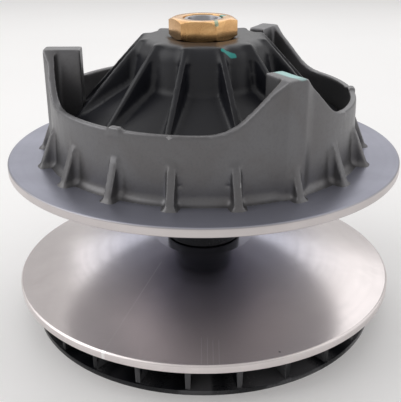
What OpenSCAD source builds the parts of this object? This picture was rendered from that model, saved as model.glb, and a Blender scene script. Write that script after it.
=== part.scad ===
// Drive pulley of a belt-type continuously variable transmission.
// Origin: centre of the fan's underside. +Z runs up the shaft, towards the nut.
// Rest pose: sheaves fully open. The sliding sheave travels down, towards the fixed one.

/* [Sheaves] */
// Outer radius of both sheaves
sheave_r = 101.5; // [92:0.5:125]
// Angle of the belt faces from flat, in degrees
face_angle = 13; // [10:0.5:16]
// Height of the fixed sheave's belt edge above the floor
fixed_edge_z = 22; // [18:0.5:28]
// Gap left between the two hub faces when the sheaves are closed
closed_gap = 3.6; // [1:0.2:8]
// Travel of the sliding sheave
travel = 25; // [18:1:25]
// Rim thickness of the fixed sheave
fixed_rim_t = 3.9; // [3:0.1:5]
// Rim thickness of the sliding sheave
slide_rim_t = 4.4; // [3.5:0.1:6]
// Width of the flat land round the idler on each hub face
hub_land = 6.5; // [5:0.5:12]

/* [Fan] */
// How far the cooling fan stays inside the sheave's rim
fan_inset = 8.1; // [4:0.1:20]
// Number of fan vanes
vane_count = 24; // [18:1:28]
// Thickness of a vane at its root, on the sheave side
vane_root_t = 3.6; // [2.5:0.1:5]
// Thickness of a vane at its tip, on the shroud side
vane_tip_t = 2.2; // [1.5:0.1:3]
// Thickness of the fan's bottom shroud
shroud_t = 2.4; // [1.6:0.1:4]
// Radius of the air inlet in the shroud
inlet_r = 51; // [46:1:60]

/* [Shaft] */
// Radius of the crankshaft bore
crank_bore_r = 12.7; // [9.5:0.1:15.5]
// Depth of the crankshaft bore, at most up to the fixed sheave's hub face
crank_bore_depth = 34.5; // [25:0.5:45]
// Width of the keyway
keyway_w = 6.35; // [4:0.05:8]
// Depth of the keyway outside the bore
keyway_depth = 2.8; // [2:0.1:3.2]
// Radius of the clearance bore for the crankshaft bolt
bolt_bore_r = 7.5; // [5:0.5:9]
// Wall between the keyway and the fixed sheave's seat
seat_wall = 2.5; // [2:0.1:4]
// Wall of the threaded neck
neck_wall = 2.5; // [2:0.1:3.5]

/* [Idler] */
// Outer radius of the idler sleeve that the slack belt rests on
idler_r = 20; // [19:0.5:25]
// Radial wall of the idler's bearing bush
idler_bush_wall = 1.95; // [1.5:0.05:2.3]

/* [Sliding sheave casting] */
// Thickness of the ring wall at its foot
wall_foot_t = 3.8; // [3.4:0.1:6]
// Thickness of the ring wall at its rim
wall_rim_t = 3.2; // [2.6:0.1:3.4]
// Height of the ring wall above the flange
wall_h = 30.9; // [26:0.1:37.5]
// Height of the towers above the wall's rim
tower_h = 21.8; // [14:0.1:26.5]
// Width of a tower's flat top
tower_top_w = 9.2; // [6:0.1:12]
// Slope of a tower's flanks, in degrees
tower_slope = 42.5; // [38:0.5:50]
// Blend radius where a flank runs out into the rim
tower_blend_r = 22; // [15:1:24]
// Reach of a tower's drive rib inwards from the ring wall
rib_reach = 12.9; // [10:0.1:15]
// Number of gussets round the wall
gusset_count = 18; // [12:3:24]
// Thickness of a gusset
gusset_t = 4; // [3:0.1:5]
// Reach of a gusset's foot outwards from the ring wall
gusset_reach = 8; // [5:0.1:10]
// Height of a gusset above the flange
gusset_h = 20.5; // [15:0.5:24]
// Ledge at the top of a gusset
gusset_ledge = 1.2; // [0.4:0.1:1.6]
// Wall of the centre boss round the spring
boss_wall = 4; // [3:0.1:6]

/* [Governor] */
// Radial gap between the governor cup's skirt and the ring wall
cup_gap = 0.8; // [0.5:0.1:2]
// Height of the cup's skirt edge above the open sliding sheave's flange
skirt_lift = 6.6; // [5:0.1:9]
// Wall thickness of the skirt
skirt_wall = 3.5; // [3:0.1:5]
// Number of stiffening ribs on the cup
cup_rib_count = 12; // [6:6:12]
// Thickness of a stiffening rib
cup_rib_t = 3.2; // [2.5:0.1:4.5]
// Radius of the flyweight rollers
roller_r = 8; // [6.5:0.25:8.5]
// Width of the rollers
roller_w = 10; // [8:0.5:12]
// Distance from lever pivot to roller centre
lever_len = 26; // [21.5:0.5:27]
// Height of the lever pivots above the flange
pivot_lift = 6.6; // [5:0.1:8]
// Lever angle from upright when the sheaves are open, inwards negative
lever_start = -52; // [-52:1:-46]
// Lever turn over the full travel, in degrees
lever_swing = 65; // [50:1:65]

/* [Fasteners] */
// Width across flats of the top nut
nut_af = 30; // [27:1:36]
// Height of the top nut
nut_h = 9.8; // [8:0.1:12]
// Radius of the lever pins
lever_pin_r = 4; // [3:0.25:4.5]
// Radius of the roller pins
roller_pin_r = 3; // [2.5:0.25:3.5]
// Radius of the spring wire
wire_r = 2; // [1.5:0.1:2.2]

/* [Fits] */
// Radial clearance of a running fit
run_fit = 0.04; // [0.02:0.01:0.08]
// Gap between neighbours that slide or swing past each other
slide_gap = 0.4; // [0.3:0.05:0.6]

/* [Hidden] */
$fn = 96;
tower_angles = [60, 180, 300];
lever_angles = [0, 120, 240];

// Radii from the axis outwards, each kept clear of the one inside it
neck_r = bolt_bore_r + neck_wall;
guide_r = neck_r + 4;
idler_seat_r = guide_r + 1.5;
seat_r = crank_bore_r + keyway_depth + seat_wall;
chamber_gap = 0.5;
chamber_r = idler_r + chamber_gap;
hub_face_r = max(chamber_r + hub_land, seat_r + 4);
boss_r = chamber_r + boss_wall;
roller_to_boss = 1.5;
pivot_r = boss_r + roller_to_boss + roller_r - lever_len * sin(lever_start);
roller_to_skirt = 1.35;
skirt_inner_r = pivot_r + lever_len * sin(lever_start + lever_swing) + roller_r + slide_gap
    + roller_to_skirt;
cup_r = skirt_inner_r + skirt_wall;
wall_inner_r = cup_r + cup_gap;
wall_foot_r = wall_inner_r + wall_foot_t;
wall_rim_r = wall_inner_r + wall_rim_t;
gusset_foot_r = wall_foot_r + gusset_reach;
rib_inner_r = wall_inner_r - rib_reach;

// Sheave heights
face_rise = (sheave_r - hub_face_r) * tan(face_angle);
fixed_back_z = fixed_edge_z - fixed_rim_t;
fixed_hub_z = fixed_edge_z + face_rise;
slide_hub_z = fixed_hub_z + travel + closed_gap;
slide_edge_z = slide_hub_z + face_rise;
flange_z = slide_edge_z + slide_rim_t;
edge_bevel = 0.6;

// Fixed sheave's back and its hub
back_angle = face_angle - 2;
back_start_r = sheave_r - 4;
fan_pad_z = fixed_back_z + (back_start_r - inlet_r) * tan(back_angle);
fan_pad_r = inlet_r + 5;
fixed_hub_r = max(hub_face_r - 1, seat_r + 6);
post_foot_z = 4;
post_flange_t = 2.5;
post_flange_r = seat_r + 4;
bore_end_gap = 0.5;
bore_depth = min(crank_bore_depth, fixed_hub_z - post_foot_z - bore_end_gap);

// Fan
fan_hub_t = 4;
fan_hub_inner_r = fixed_hub_r + 2;
fan_screw_circle_r = fan_hub_inner_r + 10;
fan_screw_count = 6;
fan_screw_r = 2.5;
fan_screw_head_r = 4.6;
fan_screw_head_h = 3;
fan_screw_depth = 5;
vane_phase = -4.85;
fan_r = sheave_r - fan_inset;
vane_end_r = fan_r - 1;
vane_step = 0.01;

// Idler and spring seat
idler_bush_r = idler_seat_r + idler_bush_wall;
idler_z = fixed_hub_z + slide_gap;
seat_z = slide_hub_z + 0.2;
seat_t = 2;
seat_washer_r = idler_r - 0.5;

// Sliding sheave's boss: spring chamber, then bushing
bush_wall = 3;
boss_h = 51.6;
boss_top_z = flange_z + boss_h;
bush_len = 22;
bush_recess = 1;
chamber_top_z = boss_top_z - bush_recess - bush_len;
floor_t = 8;
floor_inner_z = slide_hub_z + floor_t;
floor_drop = 3.4;
floor_outer_z = flange_z - floor_drop;
floor_slope = (floor_outer_z - floor_inner_z) / (wall_inner_r - boss_r);
foot_fillet = 3;
rim_z = flange_z + wall_h;
tower_z = rim_z + tower_h;
pilaster_proud = 1.9;
pilaster_run = 5.8;
rib_t = tower_top_w;
pad_w = 6;
pad_h = 1.2;
cup_top_gap = 2;

// Governor cup
cup_under_z = boss_top_z + cup_top_gap;
cup_top_t = 5.1;
cup_top_z = cup_under_z + cup_top_t;
skirt_z = flange_z + skirt_lift;
skirt_slope = 29.6;
dome_inner_r = boss_r + 5.5;
dome_r = dome_inner_r + 4;
dome_foot_r = dome_r + 2.5;
dome_round = 8;
dome_h = 21.1;
dome_foot_z = cup_top_z - dome_h;
skirt_rim_z = dome_foot_z - (cup_r - dome_foot_r) * tan(skirt_slope);
crest_start_r = dome_r - 2.2;
crest_slope = 47;
neck_gap = 0.1;
spot_r = nut_af / 2 / cos(30) + 1;
spot_depth = 0.9;

// Slider shoes in the cup's notches
shoe_t = 3.7;
shoe_in_w = rib_t + 2 * slide_gap;
notch_w = shoe_in_w + 2 * shoe_t;
cheek_t = 2.8;
shoe_end_t = 1.8;
notch_inner_r = rib_inner_r - slide_gap - shoe_end_t;
shoe_z = skirt_z + 1;
shoe_h = 9.5;
shoe_outer_r = cup_r - 1.2;

// Levers and rollers
pivot_z = flange_z + pivot_lift;
side_gap = 0.3;
fork_in = roller_w / 2 + side_gap;
fork_t = 4;
fork_out = fork_in + fork_t;
ear_gap = 0.3;
ear_t = 5;
ear_out = fork_out + ear_gap + ear_t;
ear_r = lever_pin_r + 2.8;
lever_hub_r = lever_pin_r + 2.2;
lever_tip_r = roller_pin_r + 2.2;
clip_t = 1;
clip_r = lever_pin_r + 2;
pin_half = ear_out + clip_t + 1.2;
track_steps = 12;

// Height of the floor inside the ring wall
function floor_z(r) = floor_inner_z + (r - boss_r) * floor_slope;
// Roller centre for a given travel of the sheave, in the fixed frame [radius, height]
function lever_angle(s) = lever_start + lever_swing * s / travel;
function roller_at(s) = [pivot_r + lever_len * sin(lever_angle(s)),
                         pivot_z - s + lever_len * cos(lever_angle(s))];
// Direction in which the roller centre moves
function roller_dir(s) = let(turn = lever_swing / travel * PI / 180)
    [lever_len * cos(lever_angle(s)) * turn, -1 - lever_len * sin(lever_angle(s)) * turn];
// Point of the cup's track that faces the roller
function track_at(s) = let(d = roller_dir(s), k = (roller_r + slide_gap) / norm(d))
    roller_at(s) + k * [-d[1], d[0]];

// Nut and shaft end
nut_z = cup_top_z - spot_depth;
nut_phase = -8;
post_below_nut = 0.3;
post_top_z = nut_z + nut_h - post_below_nut;

// Spring
spring_r = (guide_r + chamber_r) / 2;
spring_low_z = seat_z + seat_t;
spring_h = chamber_top_z - spring_low_z;
spring_turns = 5;
wire_sides = 8;
rings_per_turn = 24;

// Tube between two heights
module tube(r_out, r_in, z0, z1) {
    translate([0, 0, z0])
        difference() {
            cylinder(r = r_out, h = z1 - z0);
            translate([0, 0, -1]) cylinder(r = r_in, h = z1 - z0 + 2);
        }
}

// Flat outline given as [radius, height], made into a plate across the radius at an angle
module radial_plate(points, thickness, angle) {
    rotate([0, 0, angle])
        rotate([90, 0, 0])
            translate([0, 0, -thickness / 2])
                linear_extrude(thickness) polygon(points);
}

// Round bar across the radius, between two sideways positions
module cross_bar(radius, place, t0, t1, angle) {
    rotate([0, 0, angle])
        translate([place[0], 0, place[1]])
            rotate([90, 0, 0])
                translate([0, 0, t0]) cylinder(r = radius, h = t1 - t0);
}

module fixed_sheave() {
    color("gainsboro")
        difference() {
            rotate_extrude() polygon([
                [seat_r, fixed_hub_z], [hub_face_r, fixed_hub_z],
                [sheave_r - edge_bevel, fixed_edge_z + edge_bevel * tan(face_angle)],
                [sheave_r, fixed_edge_z - edge_bevel], [sheave_r, fixed_back_z],
                [back_start_r, fixed_back_z],
                [fan_pad_r, fixed_back_z + (back_start_r - fan_pad_r) * tan(back_angle)],
                [fan_pad_r, fan_pad_z], [fixed_hub_r, fan_pad_z],
                [fixed_hub_r, post_foot_z + post_flange_t], [seat_r, post_foot_z + post_flange_t]
            ]);
            fan_screw_holes(fan_pad_z - 1, fan_screw_depth + 1.5);
        }
}

module fan_screw_holes(z, h) {
    for (i = [0:fan_screw_count - 1])
        rotate([0, 0, 360 / fan_screw_count * (i + 0.5)])
            translate([fan_screw_circle_r, 0, z]) cylinder(r = fan_screw_r, h = h);
}

module cooling_fan() {
    vane_top_z = fixed_back_z + (back_start_r - vane_end_r) * tan(back_angle);
    pad_step_z = fixed_back_z + (back_start_r - fan_pad_r) * tan(back_angle);
    color("#15171b")
        difference() {
            union() {
                tube(fan_r, inlet_r, 0, shroud_t);
                tube(fan_pad_r, fan_hub_inner_r, fan_pad_z - fan_hub_t, fan_pad_z);
                intersection() {
                    for (i = [0:vane_count - 1])
                        rotate([90, 0, vane_phase + 360 / vane_count * i + 90])
                            linear_extrude(fan_r) polygon([
                                [-vane_tip_t / 2, 0], [vane_tip_t / 2, 0],
                                [vane_root_t / 2, fan_pad_z], [-vane_root_t / 2, fan_pad_z]
                            ]);
                    rotate_extrude() polygon([
                        [inlet_r - 1, shroud_t / 2], [vane_end_r, shroud_t / 2],
                        [vane_end_r, vane_top_z], [fan_pad_r + vane_step, pad_step_z],
                        [fan_pad_r - 1, fan_pad_z - fan_hub_t / 2],
                        [inlet_r - 1, fan_pad_z - fan_hub_t / 2]
                    ]);
                }
            }
            fan_screw_holes(fan_pad_z - fan_hub_t - 1, fan_hub_t + 2);
        }
}

module fan_screws() {
    head_z = fan_pad_z - fan_hub_t - fan_screw_head_h;
    color("silver")
        for (i = [0:fan_screw_count - 1])
            rotate([0, 0, 360 / fan_screw_count * (i + 0.5)])
                translate([fan_screw_circle_r, 0, head_z])
                    difference() {
                        union() {
                            cylinder(r = fan_screw_head_r, h = fan_screw_head_h);
                            cylinder(r = fan_screw_r,
                                     h = fan_screw_head_h + fan_hub_t + fan_screw_depth);
                        }
                        translate([0, 0, -1]) cylinder(r = 2.3, h = 2.8, $fn = 6);
                    }
}

module post() {
    color("slategray")
        difference() {
            rotate_extrude() polygon([
                [0, post_foot_z], [post_flange_r, post_foot_z],
                [post_flange_r, post_foot_z + post_flange_t],
                [seat_r, post_foot_z + post_flange_t], [seat_r, fixed_hub_z],
                [idler_seat_r, fixed_hub_z], [idler_seat_r, seat_z], [guide_r, seat_z],
                [guide_r, cup_under_z], [neck_r, cup_under_z],
                [neck_r, post_top_z - 1], [neck_r - 1, post_top_z], [0, post_top_z]
            ]);
            translate([0, 0, post_foot_z - 1])
                cylinder(r = crank_bore_r, h = bore_depth + 1);
            translate([0, -keyway_w / 2, post_foot_z - 1])
                cube([crank_bore_r + keyway_depth, keyway_w, bore_depth + 1]);
            translate([0, 0, post_foot_z]) cylinder(r = bolt_bore_r, h = post_top_z);
        }
}

module idler_bush() {
    color("darkgoldenrod") tube(idler_bush_r, idler_seat_r, idler_z, seat_z - slide_gap);
}

module idler_sleeve() {
    color("#1c1d20") tube(idler_r, idler_bush_r + run_fit, idler_z, seat_z - slide_gap);
}

module spring_seat() {
    color("silver") tube(seat_washer_r, guide_r, seat_z, seat_z + seat_t);
}

// Closed-and-open coil: the pitch is small on the first and last turn
function coil_z(u) = let(e = 1 / (spring_turns * 2 - 2), low = wire_r,
    high = spring_h - wire_r, lift = high - low)
    low + lift * (u < e ? u * u / e / 2 : (u > 1 - e ? 1 - e - (1 - u) * (1 - u) / e / 2
        : u - e / 2)) / (1 - e);

module spring() {
    rings = spring_turns * rings_per_turn;
    sides = wire_sides;
    points = [for (i = [0:rings], j = [0:sides - 1])
        let(a = 360 * i / rings_per_turn, b = 360 * j / sides, r = spring_r + wire_r * cos(b))
            [r * cos(a), r * sin(a), spring_low_z + coil_z(i / rings) + wire_r * sin(b)]];
    skin = [for (i = [0:rings - 1], j = [0:sides - 1])
        let(k = (j + 1) % sides)
            [i * sides + j, (i + 1) * sides + j, (i + 1) * sides + k, i * sides + k]];
    ends = [[for (j = [0:sides - 1]) j], [for (j = [0:sides - 1]) rings * sides + sides - 1 - j]];
    color("gray") polyhedron(points, concat(skin, ends), convexity = 10);
}

// Outline of a tower across the radius: flat top, straight flanks, blends into the rim
module tower_outline(low_z) {
    half = tower_top_w / 2;
    corner = half + tower_h / tan(tower_slope);
    tangent = tower_blend_r * tan(tower_slope / 2);
    flank_x = corner - tangent * cos(tower_slope);
    flank_z = rim_z + tangent * sin(tower_slope);
    end_x = corner + tangent;
    difference() {
        polygon([[-end_x, low_z], [-end_x, flank_z], [-flank_x, flank_z], [-half, tower_z],
                 [half, tower_z], [flank_x, flank_z], [end_x, flank_z], [end_x, low_z]]);
        for (side = [-1, 1])
            translate([side * end_x, rim_z + tower_blend_r]) circle(r = tower_blend_r);
    }
}

// Plan of the thickened strip on a tower's outside
module pilaster_outline() {
    half = tower_top_w / 2 + 0.3;
    in_r = wall_inner_r + 1;
    side_r = wall_rim_r - 0.8;
    face_r = wall_rim_r + 0.6 + pilaster_proud;
    polygon([[in_r, -half - pilaster_run], [side_r, -half - pilaster_run], [face_r, -half],
             [face_r, half], [side_r, half + pilaster_run], [in_r, half + pilaster_run]]);
}

module tower_prism(low_z) {
    rotate([90, 0, 90])
        linear_extrude(sheave_r) tower_outline(low_z);
}

module towers() {
    low_z = rim_z - 4;
    for (a = tower_angles)
        rotate([0, 0, a]) {
            intersection() {
                tube(wall_rim_r + 0.2, wall_inner_r - 0.2, low_z, tower_z + 1);
                tower_prism(low_z - 1);
            }
            intersection() {
                translate([0, 0, flange_z - 1])
                    linear_extrude(tower_z - flange_z + 2) pilaster_outline();
                tower_prism(flange_z - 2);
            }
            translate([rib_inner_r, -rib_t / 2, floor_outer_z - 3])
                cube([wall_inner_r + 1 - rib_inner_r, rib_t, tower_z - floor_outer_z + 3]);
        }
}

module gussets() {
    for (i = [0:gusset_count - 1])
        radial_plate([
            [wall_inner_r + 1, flange_z - 1], [gusset_foot_r, flange_z - 1],
            [gusset_foot_r, flange_z + 0.8], [gusset_foot_r - 0.6, flange_z + 1.6],
            [wall_foot_r + gusset_ledge, flange_z + gusset_h - 3 * gusset_ledge],
            [wall_inner_r + 1, flange_z + gusset_h + 1.5]
        ], gusset_t, 360 / gusset_count * i);
}

module rim_pads() {
    for (a = lever_angles)
        rotate([0, 0, a])
            intersection() {
                tube(wall_rim_r + 0.5, wall_inner_r - 0.1, rim_z - 3, rim_z + pad_h);
                translate([0, -pad_w / 2, 0]) cube([sheave_r, pad_w, tower_z]);
            }
}

// Ears that carry the lever pins
module pivot_ears() {
    root_depth = 3;
    foot_in_r = pivot_r - ear_r - 4;
    foot_out_r = pivot_r + ear_r + 4;
    foot_in_z = floor_z(foot_in_r) - root_depth;
    foot_out_z = floor_z(foot_out_r) - root_depth;
    for (a = lever_angles, side = [-1, 1])
        rotate([0, 0, a])
            translate([0, side * (fork_out + ear_gap + ear_t / 2), 0])
                union() {
                    radial_plate([
                        [foot_in_r, foot_in_z], [pivot_r - ear_r + 0.6, pivot_z],
                        [pivot_r + ear_r - 0.6, pivot_z], [foot_out_r, foot_out_z]
                    ], ear_t, 0);
                    cross_bar(ear_r, [pivot_r, pivot_z], -ear_t / 2, ear_t / 2, 0);
                }
}

module sliding_sheave() {
    color("silver")
        difference() {
            union() {
                rotate_extrude() polygon([
                    [chamber_r, slide_hub_z], [hub_face_r, slide_hub_z],
                    [sheave_r, slide_edge_z], [sheave_r, flange_z - edge_bevel],
                    [sheave_r - edge_bevel, flange_z], [wall_foot_r + foot_fillet, flange_z],
                    [wall_foot_r + foot_fillet * 0.3, flange_z + foot_fillet * 0.3],
                    [wall_foot_r, flange_z + foot_fillet], [wall_rim_r, rim_z - 0.5],
                    [wall_rim_r - 0.5, rim_z], [wall_inner_r + 0.5, rim_z],
                    [wall_inner_r, rim_z - 0.5], [wall_inner_r, floor_outer_z],
                    [boss_r, floor_inner_z], [boss_r, boss_top_z], [guide_r + bush_wall, boss_top_z],
                    [guide_r + bush_wall, chamber_top_z], [chamber_r, chamber_top_z]
                ]);
                towers();
                gussets();
                rim_pads();
                pivot_ears();
            }
            for (a = lever_angles)
                cross_bar(lever_pin_r, [pivot_r, pivot_z], -ear_out - 1, ear_out + 1, a);
        }
}

module post_bush() {
    color("darkgoldenrod")
        tube(guide_r + bush_wall, guide_r + run_fit, chamber_top_z, boss_top_z - bush_recess);
}

module lever_pin(a) {
    color("lightsteelblue") cross_bar(lever_pin_r, [pivot_r, pivot_z], -pin_half, pin_half, a);
}

module pin_clips() {
    color("dimgray")
        for (a = lever_angles, side = [-1, 1])
            rotate([0, 0, a])
                translate([pivot_r, side * (ear_out + clip_t / 2 + 0.05), pivot_z])
                    rotate([90, 0, 0])
                        difference() {
                            cylinder(r = clip_r, h = clip_t, center = true);
                            cylinder(r = lever_pin_r, h = clip_t + 1, center = true);
                            translate([0, -clip_r, 0])
                                cube([lever_pin_r * 1.2, clip_r * 2, clip_t + 1], center = true);
                        }
}

// Forked arm in its rest position
module lever(a) {
    tip = roller_at(0) - [pivot_r, pivot_z];
    along = tip / norm(tip);
    across = [-along[1], along[0]];
    w0 = lever_hub_r - 0.3;
    w1 = lever_tip_r - 0.3;
    arm = [w0 * across, w1 * across + lever_len * along, -w1 * across + lever_len * along,
           -w0 * across];
    b0 = lever_hub_r - 1;
    b1 = lever_len - roller_r - 1.2;
    bridge = [w0 * across + b0 * along, w0 * across + b1 * along, -w0 * across + b1 * along,
              -w0 * across + b0 * along];
    color("dimgray")
        rotate([0, 0, a])
            translate([pivot_r, 0, pivot_z])
                difference() {
                    union() {
                        for (side = [-1, 1])
                            translate([0, side * (fork_in + fork_t / 2), 0]) {
                                radial_plate(arm, fork_t, 0);
                                cross_bar(lever_tip_r, tip, -fork_t / 2, fork_t / 2, 0);
                            }
                        cross_bar(lever_hub_r, [0, 0], -fork_out, fork_out, 0);
                        radial_plate(bridge, 2 * fork_in + 1, 0);
                    }
                    cross_bar(lever_pin_r + run_fit, [0, 0], -fork_out - 1, fork_out + 1, 0);
                    cross_bar(roller_pin_r, tip, -fork_out - 1, fork_out + 1, 0);
                }
}

module roller_pin(a) {
    color("lightsteelblue") cross_bar(roller_pin_r, roller_at(0), -fork_out, fork_out, a);
}

module roller(a) {
    color("#3a3128")
        difference() {
            cross_bar(roller_r, roller_at(0), -roller_w / 2, roller_w / 2, a);
            cross_bar(roller_pin_r + run_fit, roller_at(0), -roller_w, roller_w, a);
        }
}

// Outer skin of the cup as a solid of revolution
module cup_blank() {
    rotate_extrude()
        union() {
            polygon([
                [0, skirt_z], [cup_r, skirt_z], [cup_r, skirt_rim_z], [dome_foot_r, dome_foot_z],
                [dome_r, cup_top_z - dome_round], [dome_r - dome_round, cup_top_z - dome_round],
                [dome_r - dome_round, cup_top_z], [0, cup_top_z]
            ]);
            intersection() {
                translate([dome_r - dome_round, cup_top_z - dome_round]) circle(r = dome_round);
                translate([dome_r - dome_round, cup_top_z - dome_round]) square(dome_round);
            }
        }
}

// Room under the cup: the dome over the boss, then the rollers' track, then the skirt
module cup_room() {
    track = [for (i = [0:track_steps]) track_at(travel * i / track_steps)];
    rotate_extrude() polygon(concat(
        [[0, skirt_z - 1], [0, cup_under_z], [dome_inner_r - 3, cup_under_z],
         [dome_inner_r, cup_under_z - 3], [dome_inner_r, track[0][1] + 1]],
        track,
        [[skirt_inner_r, track[track_steps][1] - 4], [skirt_inner_r, skirt_z - 1]]
    ));
}

module cup_ribs() {
    run = cup_r - 5 - crest_start_r;
    for (i = [0:cup_rib_count - 1])
        radial_plate([
            [dome_r - dome_round, cup_top_z - dome_round], [dome_r - dome_round, cup_top_z],
            [crest_start_r, cup_top_z],
            [crest_start_r + run, cup_top_z - run * tan(crest_slope)],
            [dome_foot_r, dome_foot_z - 2]
        ], cup_rib_t, 360 / cup_rib_count * (i + 0.5));
}

// Pocket walls that hold the slider shoes
module cup_cheeks() {
    intersection() {
        cup_blank();
        for (a = tower_angles)
            rotate([0, 0, a])
                translate([notch_inner_r - cheek_t, -notch_w / 2 - cheek_t, skirt_z])
                    cube([cup_r, notch_w + 2 * cheek_t, cup_top_z]);
    }
}

module governor_cup() {
    color("#17181b")
        difference() {
            union() {
                difference() {
                    union() {
                        cup_blank();
                        cup_ribs();
                    }
                    cup_room();
                }
                cup_cheeks();
            }
            for (a = tower_angles)
                rotate([0, 0, a])
                    translate([notch_inner_r, -notch_w / 2, skirt_z - 1])
                        cube([cup_r, notch_w, cup_top_z]);
            cylinder(r = neck_r + neck_gap, h = cup_top_z + 1);
            translate([0, 0, nut_z]) cylinder(r = spot_r, h = spot_depth + 1);
        }
}

module slider_shoe(a) {
    color("#2b2a26")
        rotate([0, 0, a])
            difference() {
                translate([notch_inner_r, -notch_w / 2, shoe_z])
                    cube([shoe_outer_r - notch_inner_r, notch_w, shoe_h]);
                translate([notch_inner_r + shoe_end_t, -shoe_in_w / 2, shoe_z - 1])
                    cube([cup_r, shoe_in_w, shoe_h + 2]);
            }
}

module top_nut() {
    corner_r = nut_af / 2 / cos(30);
    bevel = 1.5;
    color("#c79a5a")
        translate([0, 0, nut_z])
            difference() {
                intersection() {
                    rotate([0, 0, nut_phase]) cylinder(r = corner_r, h = nut_h, $fn = 6);
                    rotate_extrude() polygon([
                        [0, 0], [nut_af / 2 - 0.3, 0], [corner_r + 0.4, bevel],
                        [corner_r + 0.4, nut_h - bevel], [nut_af / 2 - 0.3, nut_h], [0, nut_h]
                    ]);
                }
                translate([0, 0, -1]) cylinder(r = neck_r, h = nut_h + 2);
            }
}

fixed_sheave();
cooling_fan();
fan_screws();
post();
idler_bush();
idler_sleeve();
spring_seat();
spring();
sliding_sheave();
post_bush();
lever_pin(lever_angles[0]);  // lever_pin_1
lever_pin(lever_angles[1]);  // lever_pin_2
lever_pin(lever_angles[2]);  // lever_pin_3
pin_clips();
lever(lever_angles[0]);  // lever_1
lever(lever_angles[1]);  // lever_2
lever(lever_angles[2]);  // lever_3
roller_pin(lever_angles[0]);  // roller_pin_1
roller_pin(lever_angles[1]);  // roller_pin_2
roller_pin(lever_angles[2]);  // roller_pin_3
roller(lever_angles[0]);  // roller_1
roller(lever_angles[1]);  // roller_2
roller(lever_angles[2]);  // roller_3
governor_cup();
slider_shoe(tower_angles[0]);  // slider_shoe_1
slider_shoe(tower_angles[1]);  // slider_shoe_2
slider_shoe(tower_angles[2]);  // slider_shoe_3
top_nut();
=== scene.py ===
"""Looks of a belt variator's drive pulley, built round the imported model."""
import math

import bpy
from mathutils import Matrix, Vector


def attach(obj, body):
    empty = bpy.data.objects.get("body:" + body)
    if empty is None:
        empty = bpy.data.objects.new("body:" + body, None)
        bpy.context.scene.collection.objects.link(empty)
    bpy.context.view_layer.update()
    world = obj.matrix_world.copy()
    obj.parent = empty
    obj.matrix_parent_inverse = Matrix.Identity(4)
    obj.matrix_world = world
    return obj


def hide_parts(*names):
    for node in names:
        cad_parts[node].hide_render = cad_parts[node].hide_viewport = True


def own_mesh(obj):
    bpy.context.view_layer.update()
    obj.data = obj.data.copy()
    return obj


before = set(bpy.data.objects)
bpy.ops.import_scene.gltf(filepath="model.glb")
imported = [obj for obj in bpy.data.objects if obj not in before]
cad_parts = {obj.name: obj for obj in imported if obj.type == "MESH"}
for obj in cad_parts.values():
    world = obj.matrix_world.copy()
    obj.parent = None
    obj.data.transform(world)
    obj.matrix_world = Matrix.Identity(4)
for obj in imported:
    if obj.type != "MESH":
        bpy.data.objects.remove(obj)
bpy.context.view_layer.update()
MM = 0.001
ORIGIN = (0.0, 0.0, 0.0)
UP = (0.0, 0.0, 1.0)

CAMERA_PLACE = (-0.000857, -0.36365, 0.21497)
CAMERA_TILT = 66.612
CAMERA_ROLL = 0.3
CAMERA_LENS = 64.48
CAMERA_SENSOR = 36.0
AIR_TINT = (1.0, 0.985, 0.98, 1)
AIR_STRENGTH = 0.58
LAMP_SIDE = 0.9
FLOOR_SIZE = 8.0


# ---------------------------------------------------------------- camera and studio
def aim_camera():
    data = bpy.data.cameras.new("studio_camera")
    data.sensor_fit = "VERTICAL"
    data.sensor_height = CAMERA_SENSOR
    data.lens = CAMERA_LENS
    camera = bpy.data.objects.new("studio_camera", data)
    bpy.context.scene.collection.objects.link(camera)
    camera.location = CAMERA_PLACE
    camera.rotation_mode = "XYZ"
    camera.rotation_euler = (math.radians(CAMERA_TILT), math.radians(CAMERA_ROLL), 0.0)
    bpy.context.scene.camera = camera


def soft_light(name, place, towards, width, height, power):
    data = bpy.data.lights.new(name, "AREA")
    data.shape = "RECTANGLE"
    data.size, data.size_y = width, height
    data.energy = power
    lamp = bpy.data.objects.new(name, data)
    bpy.context.scene.collection.objects.link(lamp)
    lamp.location = place
    lamp.rotation_euler = (Vector(towards) - Vector(place)).to_track_quat("-Z", "Y").to_euler()


def studio():
    world = bpy.data.worlds.new("studio_air")
    bpy.context.scene.world = world
    world.use_nodes = True
    back = world.node_tree.nodes["Background"]
    back.inputs["Color"].default_value = AIR_TINT
    back.inputs["Strength"].default_value = AIR_STRENGTH
    soft_light("key_left", (-0.80, -0.05, 0.65), (0, 0, 0.10), LAMP_SIDE, LAMP_SIDE, 3.4)
    soft_light("fill_right", (0.85, 0.05, 0.50), (0, 0, 0.10), LAMP_SIDE, LAMP_SIDE, 1.3)
    soft_light("rim_back", (0.10, 0.85, 0.75), (0, 0, 0.08), 1.4, LAMP_SIDE, 3.2)
    bpy.context.scene.view_settings.view_transform = "Standard"


# ---------------------------------------------------------------- shader maths
LINE_FADE = 0.45
GROOVE_DEPTH = 0.002


class Value:
    """A shader socket that takes part in Python arithmetic."""

    def __init__(self, finish, socket):
        self.finish = finish
        self.socket = socket

    def _maths(self, kind, first, second=None):
        inputs = {0: first} if second is None else {0: first, 1: second}
        return self.finish.add("ShaderNodeMath", {"operation": kind}, inputs)

    def __add__(self, other):
        return self._maths("ADD", self, other)

    def __radd__(self, other):
        return self._maths("ADD", other, self)

    def __sub__(self, other):
        return self._maths("SUBTRACT", self, other)

    def __rsub__(self, other):
        return self._maths("SUBTRACT", other, self)

    def __mul__(self, other):
        return self._maths("MULTIPLY", self, other)

    def __rmul__(self, other):
        return self._maths("MULTIPLY", other, self)

    def __truediv__(self, other):
        return self._maths("DIVIDE", self, other)

    def maths(self, kind, other=None):
        return self._maths(kind, self, other)


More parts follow.
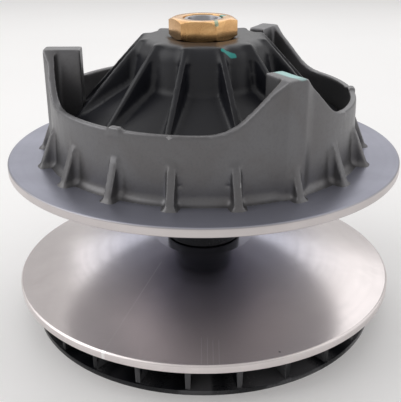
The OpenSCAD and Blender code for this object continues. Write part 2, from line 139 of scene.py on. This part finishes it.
class Finish:
    """One material, made node by node."""

    def __init__(self, name):
        self.material = bpy.data.materials.new(name)
        self.material.use_nodes = True
        self.tree = self.material.node_tree
        self.tree.nodes.clear()
        self.place = self.add("ShaderNodeTexCoord", {}, {}, "Object")

    def add(self, kind, settings, inputs, output=0):
        node = self.tree.nodes.new(kind)
        for key, setting in settings.items():
            setattr(node, key, setting)
        for key, given in inputs.items():
            if isinstance(given, Value):
                self.tree.links.new(given.socket, node.inputs[key])
            elif hasattr(given, "__len__") and len(given) == 3 and node.inputs[key].type == "RGBA":
                node.inputs[key].default_value = (*given, 1)
            else:
                node.inputs[key].default_value = given
        return Value(self, node.outputs[output])

    def noise(self, scale, detail=4.0, rough=0.55, stretch=None, warp=0.0):
        place = self.place
        if stretch:
            place = self.add("ShaderNodeMapping", {}, {"Vector": place, "Scale": stretch})
        return self.add("ShaderNodeTexNoise", {}, {"Vector": place, "Scale": scale, "Detail": detail,
                                                   "Roughness": rough, "Distortion": warp})

    def step(self, value, low, high, to_low=0.0, to_high=1.0):
        return self.add("ShaderNodeMapRange", {"interpolation_type": "SMOOTHSTEP"},
                        {0: value, 1: low, 2: high, 3: to_low, 4: to_high})

    def mix(self, amount, first, second):
        node = self.tree.nodes.new("ShaderNodeMix")
        node.data_type = "RGBA"
        for key, given in ((0, amount), (6, first), (7, second)):
            if isinstance(given, Value):
                self.tree.links.new(given.socket, node.inputs[key])
            else:
                node.inputs[key].default_value = (*given, 1) if hasattr(given, "__len__") else given
        return Value(self, node.outputs[2])

    def axes(self):
        return [self.add("ShaderNodeSeparateXYZ", {}, {0: self.place}, k) for k in range(3)]

    def radius(self):
        x, y, _ = self.axes()
        return (x * x + y * y).maths("SQRT")

    def line(self, start, end, width, above=None):
        """1 near a line drawn on the piece from start to end, seen along the shaft, in millimetres."""
        x, y, z = self.axes()
        x0, y0, run, rise = start[0], start[1], end[0] - start[0], end[1] - start[1]
        x, y = x * (1 / MM) - x0, y * (1 / MM) - y0
        along = (x * run + y * rise) / (run * run + rise * rise)
        along = along.maths("MINIMUM", 1.0).maths("MAXIMUM", 0.0)
        across, up = x - along * run, y - along * rise
        away = (across * across + up * up).maths("SQRT")
        near = self.step(away, width * 0.5, width * (0.5 + LINE_FADE), 1.0, 0.0)
        return near if above is None else near * self.step(z, (above - 0.3) * MM, (above + 0.3) * MM)

    # A mask of convex edges, found by pointiness; the finishes lighten them, partly as edge wear and partly
    # as painted highlight.
    def worn_and_highlit_edges(self, low=0.52, high=0.60):
        edge = self.add("ShaderNodeNewGeometry", {}, {}, "Pointiness")
        return self.step(edge, low, high)

    def painted(self, colour, strokes):
        """Pen strokes of (start, end, width, lowest height, shade, strength), in millimetres."""
        for start, end, width, above, shade, strength in strokes:
            colour = self.mix(self.line(start, end, width, above) * strength, colour, shade)
        return colour

    def bump(self, height, depth, strength):
        return self.add("ShaderNodeBump", {}, {"Height": height, "Distance": depth, "Strength": strength})

    def close(self, **inputs):
        named = {key.replace("_", " "): given for key, given in inputs.items()}
        surface = self.add("ShaderNodeBsdfPrincipled", {}, named)
        out = self.tree.nodes.new("ShaderNodeOutputMaterial")
        self.tree.links.new(surface.socket, out.inputs["Surface"])
        return self.material


# ---------------------------------------------------------------- finishes
def turned_aluminium(name, tint, rough, pitch, spread, metal=1.0, areas=(), marks=()):
    """Lathe-turned metal: rings of fine tool marks round the shaft, with faint stains.

    areas are (measure, from, to, fade, tint, roughness) over "radius" or "height" in millimetres; some of
    them hold painted shade and painted reflection.
    marks are (start, end, width, shade, strength) lines drawn on the surface: light ones are painted
    highlights, dark ones small spots.
    """
    f = Finish(name)
    r = f.radius()
    rings = f.add("ShaderNodeTexNoise", {"noise_dimensions": "1D"},
                  {"W": r * (1.0 / (pitch * MM)), "Scale": 1.0, "Detail": 3.0, "Roughness": 0.7})
    broad = f.add("ShaderNodeTexNoise", {"noise_dimensions": "1D"},
                  {"W": r * 260.0, "Scale": 1.0, "Detail": 2.0, "Roughness": 0.5})
    stain = f.noise(22.0, 5.0, 0.6, warp=0.4)
    fine = f.noise(900.0, 3.0, 0.6)
    colour = f.mix(f.step(stain, 0.35, 0.75), tint, tuple(c * 0.90 for c in tint))
    colour = f.mix(f.step(rings, 0.3, 0.75, 0.0, 0.22), colour, tuple(c * 0.78 for c in tint))
    shine = (rough + (rings - 0.5) * 0.10 + (broad - 0.5) * 0.08 + (stain - 0.5) * 0.08
             + (fine - 0.5) * 0.05)
    # Each area repaints a zone in its own tint, mottled by the stains; the callers use some areas as
    # painted shade and painted reflection.
    for measure, low, high, fade, shade, change in areas:
        reach = r if measure == "radius" else f.axes()[2]
        inside = (f.step(reach, low * MM, (low + 0.4) * MM)
                  * f.step(reach, (high - fade) * MM, high * MM, 1.0, 0.0))
        mottled_zone = f.mix(f.step(stain, 0.3, 0.7), shade, tuple(c * 0.88 for c in shade))
        colour = f.mix(inside, colour, mottled_zone)
        shine = shine + inside * change
    # Light marks are painted highlights (glints).
    for start, end, width, shade, strength in marks:
        colour = f.mix(f.line(start, end, width) * strength, colour, shade)
    return f.close(Base_Color=colour, Metallic=metal, Roughness=shine.maths("MAXIMUM", 0.05),
                   Anisotropic=spread, Normal=f.bump(rings, GROOVE_DEPTH * MM, 0.5))


def cast_metal(name, tint, rough, grain, depth, brown=0.35, metal=0.85, paint=()):
    """Die-cast aluminium: cloudy grey, a fine pebbled skin and brighter edges, partly handling wear and
    partly painted highlight.
    """
    f = Finish(name)
    cloud = f.noise(38.0, 6.0, 0.62, warp=0.6)
    drift = f.noise(9.0, 3.0, 0.5)
    skin = f.noise(grain, 4.0, 0.6)
    pits = f.add("ShaderNodeTexVoronoi", {"feature": "F1"}, {"Vector": f.place, "Scale": grain * 0.7})
    warm = (tint[0] * 0.86, tint[1] * 0.80, tint[2] * 0.74)
    colour = f.mix(f.step(cloud, 0.38, 0.68, 0.0, brown), tint, warm)
    colour = f.mix(f.step(drift, 0.35, 0.7, 0.0, 0.25), colour, tuple(c * 1.18 for c in tint))
    colour = f.mix(f.step(skin, 0.45, 0.75, 0.0, 0.30), colour, tuple(c * 0.72 for c in tint))
    edge = f.worn_and_highlit_edges(0.508, 0.555)
    # Edges lightened towards the square root of the tint: partly handling wear, partly painted highlight.
    colour = f.mix(edge * 0.75, colour, tuple(c ** 0.5 for c in tint))
    shine = rough + (cloud - 0.5) * 0.18 + (skin - 0.5) * 0.12 - edge * 0.14
    colour = f.painted(colour, paint)
    height = skin * 0.6 + f.step(pits, 0.0, 0.35) * 0.4
    return f.close(Base_Color=colour, Metallic=metal, Roughness=shine.maths("MAXIMUM", 0.12),
                   Normal=f.bump(height, depth * MM, 0.7))


def satin_black(name, tint, rough, grain, depth, edge_tint, edge_amount=0.5, spec=0.25, paint=()):
    """Black coating over a cast or moulded skin, lighter along its edges: partly rubbed wear, partly
    painted highlight.
    """
    f = Finish(name)
    cloud = f.noise(30.0, 5.0, 0.6, warp=0.3)
    skin = f.noise(grain, 4.0, 0.6)
    edge = f.worn_and_highlit_edges(0.515, 0.60)
    colour = f.mix(f.step(cloud, 0.35, 0.7, 0.0, 0.5), tint, tuple(c * 1.7 for c in tint))
    # Edges lightened towards edge_tint: partly rubbed wear, partly painted highlight.
    colour = f.mix(edge * edge_amount, colour, edge_tint)
    colour = f.painted(colour, paint)
    shine = rough + (cloud - 0.5) * 0.16 + (skin - 0.5) * 0.14 - edge * 0.06
    return f.close(Base_Color=colour, Metallic=0.0, Roughness=shine.maths("MAXIMUM", 0.1),
                   Specular_IOR_Level=spec, Normal=f.bump(skin, depth * MM, 0.6))


def plated(name, tint, second, rough, metal=1.0, spread=0.0, paint=()):
    """Plated or ground steel: thin colour drift, fine scratches, brighter edges that are partly wear and
    partly painted highlight.
    """
    f = Finish(name)
    drift = f.noise(140.0, 4.0, 0.55, warp=0.8)
    scratch = f.noise(420.0, 3.0, 0.6, stretch=(1.0, 1.0, 0.06))
    edge = f.worn_and_highlit_edges(0.52, 0.62)
    colour = f.mix(f.step(drift, 0.36, 0.66), tint, second)
    # Edges lightened: partly wear, partly painted highlight.
    colour = f.mix(edge * 0.45, colour, tuple(min(1.0, c * 1.35) for c in tint))
    colour = f.painted(colour, paint)
    shine = rough + (drift - 0.5) * 0.14 + (scratch - 0.5) * 0.16
    return f.close(Base_Color=colour, Metallic=metal, Roughness=shine.maths("MAXIMUM", 0.08),
                   Anisotropic=spread, Normal=f.bump(scratch, 0.01 * MM, 0.35))


def moulded(name, tint, rough):
    """Moulded wear-resistant plastic with a faint flow pattern and lighter edges, partly rubbed wear and
    partly painted highlight.
    """
    f = Finish(name)
    flow = f.noise(60.0, 5.0, 0.6, stretch=(1.0, 1.0, 3.0), warp=0.5)
    skin = f.noise(1400.0, 3.0, 0.6)
    edge = f.worn_and_highlit_edges(0.52, 0.62)
    colour = f.mix(f.step(flow, 0.35, 0.7), tint, tuple(c * 0.72 for c in tint))
    # Edges lightened: partly rubbed wear, partly painted highlight.
    colour = f.mix(edge * 0.3, colour, tuple(c * 1.8 for c in tint))
    return f.close(Base_Color=colour, Metallic=0.0, Roughness=rough + (skin - 0.5) * 0.2,
                   Normal=f.bump(skin, 0.02 * MM, 0.5))


def pale_floor(name):
    f = Finish(name)
    cloud = f.noise(3.0, 3.0, 0.5)
    colour = f.mix(f.step(cloud, 0.3, 0.7), (0.86, 0.855, 0.85), (0.88, 0.875, 0.87))
    return f.close(Base_Color=colour, Metallic=0.0, Roughness=0.6, Emission_Color=(1.0, 0.99, 0.985),
                   Emission_Strength=0.10)


# ---------------------------------------------------------------- modelling tools
TURNED_CREASE = 32
EASED_CREASE = 35
WIRE_CREASE = 60
BEVEL_FROM = 28
CORNER_ROUND = 0.35
CORNER_PARTS = 3
SPIN_MERGE = 0.002
COPY_MERGE = 0.003


def nothing_selected():
    if bpy.context.mode != "OBJECT":
        bpy.ops.object.mode_set(mode="OBJECT")
    bpy.ops.object.select_all(action="DESELECT")


def only(piece):
    nothing_selected()
    piece.select_set(True)
    bpy.context.view_layer.objects.active = piece


def settle(piece, name):
    """Names a finished piece and leaves its object at the origin."""
    only(piece)
    bpy.ops.object.transform_apply(location=True, rotation=True, scale=True)
    piece.name = name
    piece.data.name = name
    return piece


def with_modifier(piece, kind, **settings):
    only(piece)
    modifier = piece.modifiers.new(kind.lower(), kind)
    for key, value in settings.items():
        setattr(modifier, key, value)
    bpy.ops.object.modifier_apply(modifier=modifier.name)


def lathe(name, profile, steps=256):
    """Turns a profile of (radius, height) in millimetres round the shaft.

    A closed profile ends where it starts.
    """
    nothing_selected()
    bpy.ops.mesh.primitive_plane_add(size=2 * MM, location=(profile[0][0] * MM, 0, profile[0][1] * MM))
    piece = bpy.context.object
    bpy.ops.object.mode_set(mode="EDIT")
    bpy.ops.mesh.select_all(action="SELECT")
    bpy.ops.mesh.merge(type="CENTER")
    for (r0, z0), (r1, z1) in zip(profile, profile[1:]):
        bpy.ops.mesh.extrude_region_move(
            TRANSFORM_OT_translate={"value": ((r1 - r0) * MM, 0, (z1 - z0) * MM)})
    bpy.ops.mesh.select_all(action="SELECT")
    bpy.ops.mesh.spin(steps=steps, angle=2 * math.pi, center=ORIGIN, axis=UP)
    bpy.ops.mesh.select_all(action="SELECT")
    bpy.ops.mesh.remove_doubles(threshold=SPIN_MERGE * MM)
    bpy.ops.mesh.normals_make_consistent(inside=False)
    bpy.ops.object.mode_set(mode="OBJECT")
    settle(piece, name)
    bpy.ops.object.shade_smooth_by_angle(angle=math.radians(TURNED_CREASE))
    return piece


def rounded(points):
    """A profile with each of its corners, apart from its ends, replaced by a small round."""
    out = [points[0]]
    for before, corner, after in zip(points, points[1:], points[2:]):
        a, b, c = Vector(before), Vector(corner), Vector(after)
        reach = min(CORNER_ROUND, (a - b).length * 0.45, (c - b).length * 0.45)
        start, end = b + (a - b).normalized() * reach, b + (c - b).normalized() * reach
        for k in range(CORNER_PARTS + 1):
            t = k / CORNER_PARTS
            out.append(tuple(start * (1 - t) ** 2 + b * 2 * t * (1 - t) + end * t ** 2))
    out.append(points[-1])
    return out


def copy_of(node, name):
    """A merged copy of a CAD node's mesh, as a new piece."""
    nothing_selected()
    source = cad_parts[node]
    piece = bpy.data.objects.new(name, source.data.copy())
    bpy.context.scene.collection.objects.link(piece)
    piece.data.materials.clear()
    only(piece)
    bpy.ops.object.mode_set(mode="EDIT")
    bpy.ops.mesh.select_all(action="SELECT")
    bpy.ops.mesh.remove_doubles(threshold=COPY_MERGE * MM)
    bpy.ops.object.mode_set(mode="OBJECT")
    return piece


def eased(node, name, width):
    """A copy of a CAD node with its sharp edges eased, so that they catch the light."""
    piece = copy_of(node, name)
    with_modifier(piece, "BEVEL", width=width * MM, segments=2, limit_method="ANGLE",
                  angle_limit=math.radians(BEVEL_FROM), offset_type="OFFSET", use_clamp_overlap=True)
    settle(piece, name)
    bpy.ops.object.shade_smooth_by_angle(angle=math.radians(EASED_CREASE))
    return piece


def keep_inside(piece, room):
    with_modifier(piece, "BOOLEAN", object=room, operation="INTERSECT", solver="EXACT")
    bpy.data.objects.remove(room)


def cast_skin(piece, name, grid, fillet, passes, limit):
    """Gives a piece the filleted, slightly soft skin of a casting: swelled, closed and shrunk back."""
    with_modifier(piece, "REMESH", mode="VOXEL", voxel_size=grid * MM)
    with_modifier(piece, "DISPLACE", strength=fillet * MM, mid_level=0.0)
    with_modifier(piece, "REMESH", mode="VOXEL", voxel_size=grid * MM)
    with_modifier(piece, "SMOOTH", factor=0.5, iterations=2)
    with_modifier(piece, "DISPLACE", strength=-fillet * MM, mid_level=0.0)
    with_modifier(piece, "SMOOTH", factor=0.5, iterations=passes)
    count = sum(len(p.vertices) - 2 for p in piece.data.polygons)
    if count > limit:
        with_modifier(piece, "DECIMATE", ratio=limit / count)
    settle(piece, name)
    bpy.ops.object.shade_smooth()
    return piece


def soften(piece, low_z, inner_r, outer_r, passes):
    """Smooths the part of a turned piece that lies above low_z and between two radii, in millimetres."""
    group = piece.vertex_groups.new(name="soften")
    for vertex in piece.data.vertices:
        r = math.hypot(vertex.co.x, vertex.co.y)
        if vertex.co.z > low_z * MM and inner_r * MM < r < outer_r * MM:
            group.add([vertex.index], 1.0, "REPLACE")
    with_modifier(piece, "SMOOTH", factor=0.5, iterations=passes, vertex_group="soften")
    piece.vertex_groups.clear()


def finished(piece, body, material, node):
    piece.data.materials.clear()
    piece.data.materials.append(material)
    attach(piece, body)
    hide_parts(node)


# ---------------------------------------------------------------- sizes, in millimetres
SHEAVE_R = 101.5
SLOPE = math.tan(math.radians(13))
EDGE_LOW, EDGE_HIGH = 22.0, 85.0
HUB_R = 27.0
HUB_LOW = EDGE_LOW + (SHEAVE_R - HUB_R) * SLOPE
HUB_HIGH = EDGE_HIGH - (SHEAVE_R - HUB_R) * SLOPE
FLANGE = 89.4
SEAT_R, SEAT_FOOT = 18.0, 6.5
BOSS_R = 20.5
UNDER_Z, FAN_PAD_Z, FAN_PAD_R = 18.1, 27.1, 56.0
WEB_END_R = 97.5
WALL_IN_R = 80.2

aim_camera()
studio()

# ---------------------------------------------------------------- materials
PEN = (0.02, 0.30, 0.27)
PALE_PEN = (0.34, 0.56, 0.54)
GLINT = (1.0, 0.99, 0.98)
DARK_DOT = (0.10, 0.10, 0.11)
bright = turned_aluminium(
    "bright_turned", (0.80, 0.745, 0.74), 0.22, 0.16, 0.75,
    areas=[("radius", 100.6, 102.0, 0.4, (0.82, 0.765, 0.755), 0.10),
           # Inner cone from 15 to 86 mm: a darker bluish tint, painted shade and painted reflection of the
           # upper sheave's underside.
           ("radius", 15.0, 86.0, 52.0, (0.40, 0.40, 0.47), -0.04)],
    # The GLINT lines and spot are painted highlights; the DARK_DOT mark is a small dark spot.
    marks=[((-22.2, -31.1), (-45.7, -88.9), 0.25, GLINT, 0.30),
           ((-46.5, -89.6), (-45.6, -90.0), 0.9, GLINT, 1.0),
           ((33.8, -91.8), (34.1, -91.8), 0.5, DARK_DOT, 0.9),
           ((-1.4, -84.8), (-1.5, -100.0), 0.25, GLINT, 0.5),
           ((1.3, -84.9), (1.2, -100.0), 0.25, GLINT, 0.5),
           ((3.8, -86.0), (3.8, -100.0), 0.25, GLINT, 0.5),
           ((6.5, -86.0), (6.5, -100.0), 0.25, GLINT, 0.5)])
# Upper sheave: one metal painted in three tones by height. The underside cone is darker grey than the lower
# sheave as painted shade. The rim band from 85 to 89 mm is lighter and pinkish, painted as the lit face.
# The top face from 89 to 90 mm is bluish as a painted reflection.
machined = turned_aluminium(
    "machined_rim", (0.42, 0.41, 0.43), 0.34, 0.12, 0.5, metal=0.72,
    areas=[("height", 85.0, 89.0, 0.4, (0.66, 0.615, 0.61), 0.04),
           ("height", 89.0, 90.0, 0.4, (0.36, 0.365, 0.435), 0.06)])
casting = cast_metal(
    "casting_skin", (0.165, 0.164, 0.170), 0.40, 900.0, 0.05,
    paint=[((33.5, -54.0), (39.0, -63.0), 4.0, 141.5, PALE_PEN, 0.95),
           ((39.0, -63.0), (41.0, -66.5), 3.0, 141.5, PALE_PEN, 0.55)])
cup_black = satin_black(
    "cup_coating", (0.009, 0.0095, 0.013), 0.36, 1200.0, 0.03, (0.11, 0.11, 0.12), 0.75, spec=0.42,
    paint=[((8.9, -31.3), (12.0, -30.2), 1.0, 143.2, PEN, 0.95),
           ((12.0, -30.2), (14.8, -29.6), 1.1, 143.0, PEN, 0.95)])
# On the fan the lighter vane edges are painted highlights.
fan_black = satin_black("fan_coating", (0.004, 0.0045, 0.006), 0.30, 1000.0, 0.02, (0.09, 0.09, 0.095), 0.8)
oxide_black = satin_black("idler_oxide", (0.010, 0.010, 0.012), 0.30, 1500.0, 0.01, (0.12, 0.12, 0.12))
steel = plated("ground_steel", (0.42, 0.415, 0.43), (0.33, 0.325, 0.345), 0.30, spread=0.4)
zinc = plated("bright_zinc", (0.58, 0.59, 0.62), (0.48, 0.49, 0.52), 0.28)
gold = plated(
    "yellow_zinc", (0.78, 0.475, 0.215), (0.66, 0.38, 0.165), 0.24,
    paint=[((6.2, -1.8), (10.0, 4.6), 2.4, 150.0, PEN, 0.9),
           ((6.0, -9.0), (6.6, -15.6), 1.3, 155.0, PEN, 0.6)])
bronze = plated("sintered_bronze", (0.45, 0.30, 0.15), (0.37, 0.24, 0.12), 0.42)
spring_grey = plated("phosphated_wire", (0.17, 0.17, 0.18), (0.12, 0.12, 0.13), 0.42)
forged = cast_metal("forged_levers", (0.16, 0.16, 0.165), 0.5, 1100.0, 0.03, 0.25)
roller_brown = moulded("roller_plastic", (0.13, 0.09, 0.058), 0.42)
shoe_dark = moulded("shoe_plastic", (0.050, 0.046, 0.041), 0.45)

for node, material in {
        "fixed_sheave": bright, "cooling_fan": fan_black, "fan_screws": zinc, "post": steel,
        "idler_bush": bronze, "idler_sleeve": oxide_black, "spring_seat": zinc, "spring": spring_grey,
        "sliding_sheave": casting, "post_bush": bronze, "pin_clips": spring_grey,
        "governor_cup": cup_black, "top_nut": gold,
        **{f"lever_{k}": forged for k in (1, 2, 3)}, **{f"lever_pin_{k}": steel for k in (1, 2, 3)},
        **{f"roller_pin_{k}": steel for k in (1, 2, 3)}, **{f"roller_{k}": roller_brown for k in (1, 2, 3)},
        **{f"slider_shoe_{k}": shoe_dark for k in (1, 2, 3)}}.items():
    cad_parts[node].data.materials.clear()
    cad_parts[node].data.materials.append(material)

# ---------------------------------------------------------------- lower sheave
lower = lathe("lower_sheave", rounded([
    (SEAT_R, HUB_LOW), (HUB_R, HUB_LOW), (SHEAVE_R - 0.9, EDGE_LOW + 0.9 * SLOPE),
    (SHEAVE_R, EDGE_LOW - 0.5), (SHEAVE_R, UNDER_Z), (WEB_END_R, UNDER_Z),
    (FAN_PAD_R, UNDER_Z + (WEB_END_R - FAN_PAD_R) * math.tan(math.radians(11))), (FAN_PAD_R, FAN_PAD_Z),
    (26.0, FAN_PAD_Z), (26.0, SEAT_FOOT), (SEAT_R, SEAT_FOOT), (SEAT_R, HUB_LOW)]))
finished(lower, "shaft_group", bright, "fixed_sheave")

# ---------------------------------------------------------------- upper sheave
upper_disc = lathe("upper_disc", rounded([
    (BOSS_R, HUB_HIGH), (HUB_R, HUB_HIGH), (SHEAVE_R - 0.4, EDGE_HIGH - 0.1),
    (SHEAVE_R, EDGE_HIGH + 0.4), (SHEAVE_R, FLANGE - 0.6), (SHEAVE_R - 0.6, FLANGE),
    (WALL_IN_R, FLANGE), (WALL_IN_R, EDGE_HIGH - 18 * SLOPE),
    (HUB_R, HUB_HIGH + 2.0), (BOSS_R, HUB_HIGH + 2.0), (BOSS_R, HUB_HIGH)]))
finished(upper_disc, "sliding_group", machined, "sliding_sheave")

body = copy_of("sliding_sheave", "upper_casting")
room = lathe("casting_room", [
    (18.0, HUB_HIGH + 1.0), (HUB_R, HUB_HIGH + 1.0), (88.0, EDGE_HIGH - 13.5 * SLOPE + 1.0), (88.0, 146.0),
    (18.0, 146.0), (18.0, HUB_HIGH + 1.0)], 96)
keep_inside(body, room)
cast_skin(body, "upper_casting", 0.72, 1.15, 2, 190000)
for vertex in body.data.vertices:
    r = math.hypot(vertex.co.x, vertex.co.y)
    if r > 80.3 * MM and vertex.co.z < (FLANGE + 0.12) * MM:
        vertex.co.z -= 0.3 * MM
finished(body, "sliding_group", casting, "sliding_sheave")

# ---------------------------------------------------------------- governor cup
cup = copy_of("governor_cup", "governor_dome")
cast_skin(cup, "governor_dome", 0.8, 1.3, 3, 170000)
soften(cup, 140.5, 20.5, 39.0, 22)
finished(cup, "shaft_group", cup_black, "governor_cup")

# ---------------------------------------------------------------- smaller parts, with their edges eased
TURNS = (1, 2, 3)
SMALL_PARTS = [
    ("cooling_fan", "fan_blades", 0.30, "shaft_group", "black_fan", fan_black),
    ("fan_screws", "screw_heads", 0.25, "shaft_group", "zinc_steel", zinc),
    ("post", "shaft_post", 0.25, "shaft_group", "machined_steel", steel),
    ("idler_bush", "idler_lining", 0.15, "shaft_group", "bronze", bronze),
    ("idler_sleeve", "idler_barrel", 0.50, "idler", "black_steel", oxide_black),
    ("spring_seat", "spring_washer", 0.20, "shaft_group", "zinc_steel", zinc),
    ("post_bush", "guide_lining", 0.15, "sliding_group", "bronze", bronze),
    ("top_nut", "crown_nut", 0.40, "shaft_group", "yellow_zinc", gold),
    *[(f"lever_{k}", f"flyweight_{k}", 0.45, f"lever_{k}", "forged_steel", forged) for k in TURNS],
    *[(f"lever_pin_{k}", f"swing_pin_{k}", 0.35, "sliding_group", "machined_steel", steel) for k in TURNS],
    *[(f"roller_pin_{k}", f"axle_{k}", 0.30, f"lever_{k}", "machined_steel", steel) for k in TURNS],
    *[(f"roller_{k}", f"tyre_{k}", 0.50, f"roller_{k}", "brown_plastic", roller_brown)
      for k in TURNS],
    *[(f"slider_shoe_{k}", f"guide_shoe_{k}", 0.50, "shaft_group", "dark_plastic", shoe_dark)
      for k in TURNS]]
for node, name, width, body_name, slot_name, material in SMALL_PARTS:
    finished(eased(node, name, width), body_name, material, node)

# ---------------------------------------------------------------- spring
coil = settle(copy_of("spring", "coil_spring"), "coil_spring")
bpy.ops.object.shade_smooth_by_angle(angle=math.radians(WIRE_CREASE))
finished(coil, "shaft_group", spring_grey, "spring")
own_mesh(coil)

# ---------------------------------------------------------------- floor
bpy.ops.object.select_all(action="DESELECT")
bpy.ops.mesh.primitive_plane_add(size=FLOOR_SIZE, location=ORIGIN)
floor = bpy.context.object
floor.name = "studio_floor"
floor.data.materials.append(pale_floor("studio_floor"))
